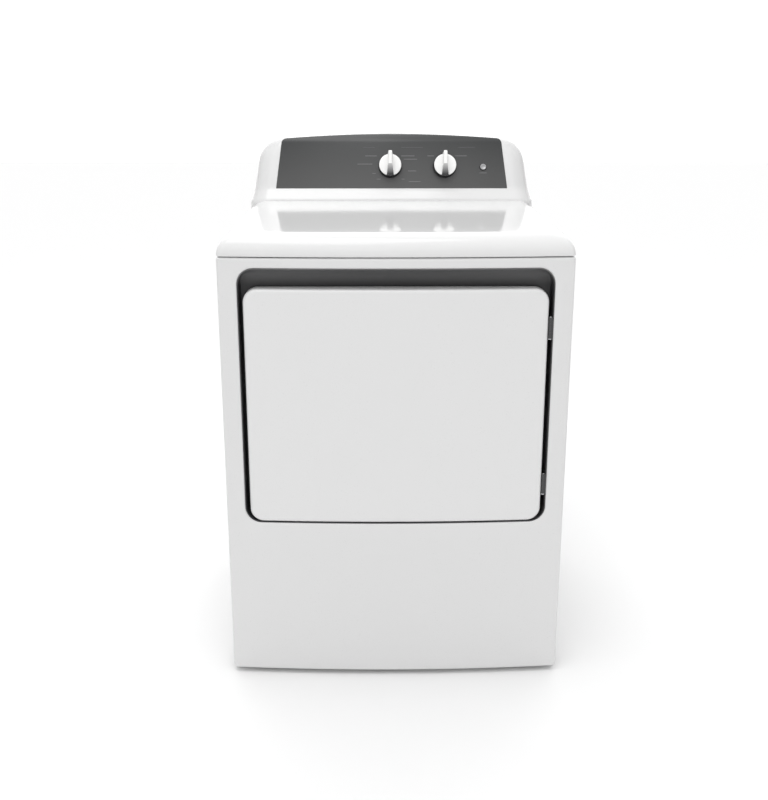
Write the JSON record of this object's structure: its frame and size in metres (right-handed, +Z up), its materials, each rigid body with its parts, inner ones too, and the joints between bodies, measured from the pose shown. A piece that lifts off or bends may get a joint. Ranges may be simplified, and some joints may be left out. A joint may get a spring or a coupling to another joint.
{
  "type": "clothes dryer",
  "caption": "Front-loading clothes dryer with a recessed side-hinged door, spinning drum, belt drive and rear control console.",
  "frame": {"origin": "on the floor under the middle of the whole machine", "axes": "+Z up, front faces -Y, +X to the right seen from the front"},
  "size_m": [0.686, 0.715, 1.087],
  "materials": {
    "appliance_white": "gloss enamel",
    "recess_dark": "satin dark grey enamel",
    "console_white": "gloss",
    "fascia_dark": "gloss printed overlay",
    "knob_white": "satin gloss",
    "button_silver": "satin chrome",
    "galvanized": "galvanized sheet",
    "drum_steel": "aluminized steel",
    "zinc_steel": "zinc plated",
    "white_plastic": "satin moulded",
    "black_plastic": "satin moulded",
    "foot_rubber": "matt",
    "seal_rubber": "matt",
    "belt_rubber": "ribbed",
    "felt": "needled felt",
    "motor_paint": "satin paint",
    "spring_steel": "drawn wire"
  },
  "bodies": {
    "cabinet": {"side_panel_left": "appliance_white", "side_panel_right": "appliance_white", "front_panel": "appliance_white", "rear_panel": "galvanized", "rear_access_cover": "galvanized", "base_pan": "galvanized", "worktop": "appliance_white", "door_recess": "recess_dark", "front_bulkhead": "galvanized", "rear_bulkhead": "galvanized", "leg_nuts": "zinc_steel", "console_housing": "console_white", "end_cap_left": "console_white", "end_cap_right": "console_white", "control_fascia": "fascia_dark", "console_rear_cover": "galvanized", "timer": "white_plastic", "temperature_switch": "white_plastic", "start_switch": "black_plastic", "hinge_frame_leaves": "recess_dark", "hinge_pins": "zinc_steel", "door_catch": "black_plastic", "door_switch": "black_plastic", "rear_bearing": "black_plastic", "bearing_slides": "white_plastic", "front_felt": "felt", "rear_felt": "felt", "heater_housing": "galvanized", "heater_coil": "spring_steel", "drive_belt": "belt_rubber", "motor": "motor_paint", "motor_mount": "galvanized", "idler_spring": "spring_steel", "blower_housing": "white_plastic", "lint_duct": "white_plastic", "exhaust_duct": "galvanized", "terminal_block": "black_plastic", "rear_screws": "zinc_steel"},
    "leg_front_left": {"leg_front_left": "foot_rubber"},
    "leg_front_right": {"leg_front_right": "foot_rubber"},
    "leg_rear_left": {"leg_rear_left": "foot_rubber"},
    "leg_rear_right": {"leg_rear_right": "foot_rubber"},
    "timer_dial": {"timer_knob": "knob_white"},
    "temperature_dial": {"temperature_knob": "knob_white"},
    "start_key": {"start_button": "button_silver"},
    "door": {"door_outer_panel": "appliance_white", "door_inner_panel": "white_plastic", "door_seal": "seal_rubber", "hinge_door_leaves": "recess_dark", "door_strike": "zinc_steel"},
    "switch_plunger": {"door_switch_plunger": "white_plastic"},
    "drum": {"drum_shell": "drum_steel", "drum_baffles": "white_plastic", "drum_back": "drum_steel", "drum_shaft": "zinc_steel"},
    "rotor": {"motor_shaft": "zinc_steel", "blower_wheel": "white_plastic"},
    "tension_arm": {"idler_arm": "zinc_steel"},
    "tension_pulley": {"idler_pulley": "white_plastic"},
    "lint_filter": {"lint_screen": "white_plastic"}
  },
  "joints": [
    {"name": "door_hinge", "type": "hinge", "parent": "cabinet", "child": "door", "pos_m": [0.29915, -0.3422, 0.5895], "axis": [0, 0, 1], "range_deg": [0, 115]},
    {"name": "timer_turn", "type": "hinge", "parent": "cabinet", "child": "timer_dial", "pos_m": [-0.0035, 0.26631, 1.01001], "axis": [0, -0.9336, 0.3584], "continuous": true},
    {"name": "temperature_turn", "type": "hinge", "parent": "cabinet", "child": "temperature_dial", "pos_m": [0.1285, 0.26631, 1.01001], "axis": [0, -0.9336, 0.3584], "range_deg": [-75, 75]},
    {"name": "start_press", "type": "slide", "parent": "cabinet", "child": "start_key", "axis": [0, 0.9336, -0.3584], "range_m": [0, 0.003], "stiffness_N_per_m": 600},
    {"name": "switch_press", "type": "slide", "parent": "cabinet", "child": "switch_plunger", "axis": [0, 1, 0], "range_m": [0, 0.005], "stiffness_N_per_m": 200},
    {"name": "drum_spin", "type": "hinge", "parent": "cabinet", "child": "drum", "pos_m": [0, 0, 0.556], "axis": [0, 1, 0], "continuous": true},
    {"name": "motor_spin", "type": "hinge", "parent": "cabinet", "child": "rotor", "pos_m": [-0.07, 0, 0.108], "axis": [0, 1, 0], "continuous": true},
    {"name": "idler_swing", "type": "hinge", "parent": "cabinet", "child": "tension_arm", "pos_m": [0.005, -0.0025, 0.045], "axis": [0, 1, 0], "range_deg": [0, 18], "stiffness_Nm_per_rad": 4, "springref_deg": -14.32},
    {"name": "idler_spin", "type": "hinge", "parent": "tension_arm", "child": "tension_pulley", "pos_m": [-0.015, -0.0125, 0.12], "axis": [0, 1, 0], "continuous": true},
    {"name": "lint_pull", "type": "slide", "parent": "cabinet", "child": "lint_filter", "axis": [0, 0, 1], "range_m": [0, 0.235]},
    {"name": "leg_front_left_turn", "type": "hinge", "parent": "cabinet", "child": "leg_front_left", "pos_m": [-0.3, -0.2945, 0], "axis": [0, 0, 1], "continuous": true},
    {"name": "leg_front_right_turn", "type": "hinge", "parent": "cabinet", "child": "leg_front_right", "pos_m": [0.3, -0.2945, 0], "axis": [0, 0, 1], "continuous": true},
    {"name": "leg_rear_left_turn", "type": "hinge", "parent": "cabinet", "child": "leg_rear_left", "pos_m": [-0.3, 0.2845, 0], "axis": [0, 0, 1], "continuous": true},
    {"name": "leg_rear_right_turn", "type": "hinge", "parent": "cabinet", "child": "leg_rear_right", "pos_m": [0.3, 0.2845, 0], "axis": [0, 0, 1], "continuous": true}
  ],
  "couplings": [
    {"joint": "motor_spin", "follows": "drum_spin", "ratio": 26.081},
    {"joint": "idler_spin", "follows": "drum_spin", "ratio": -12.25}
  ]
}
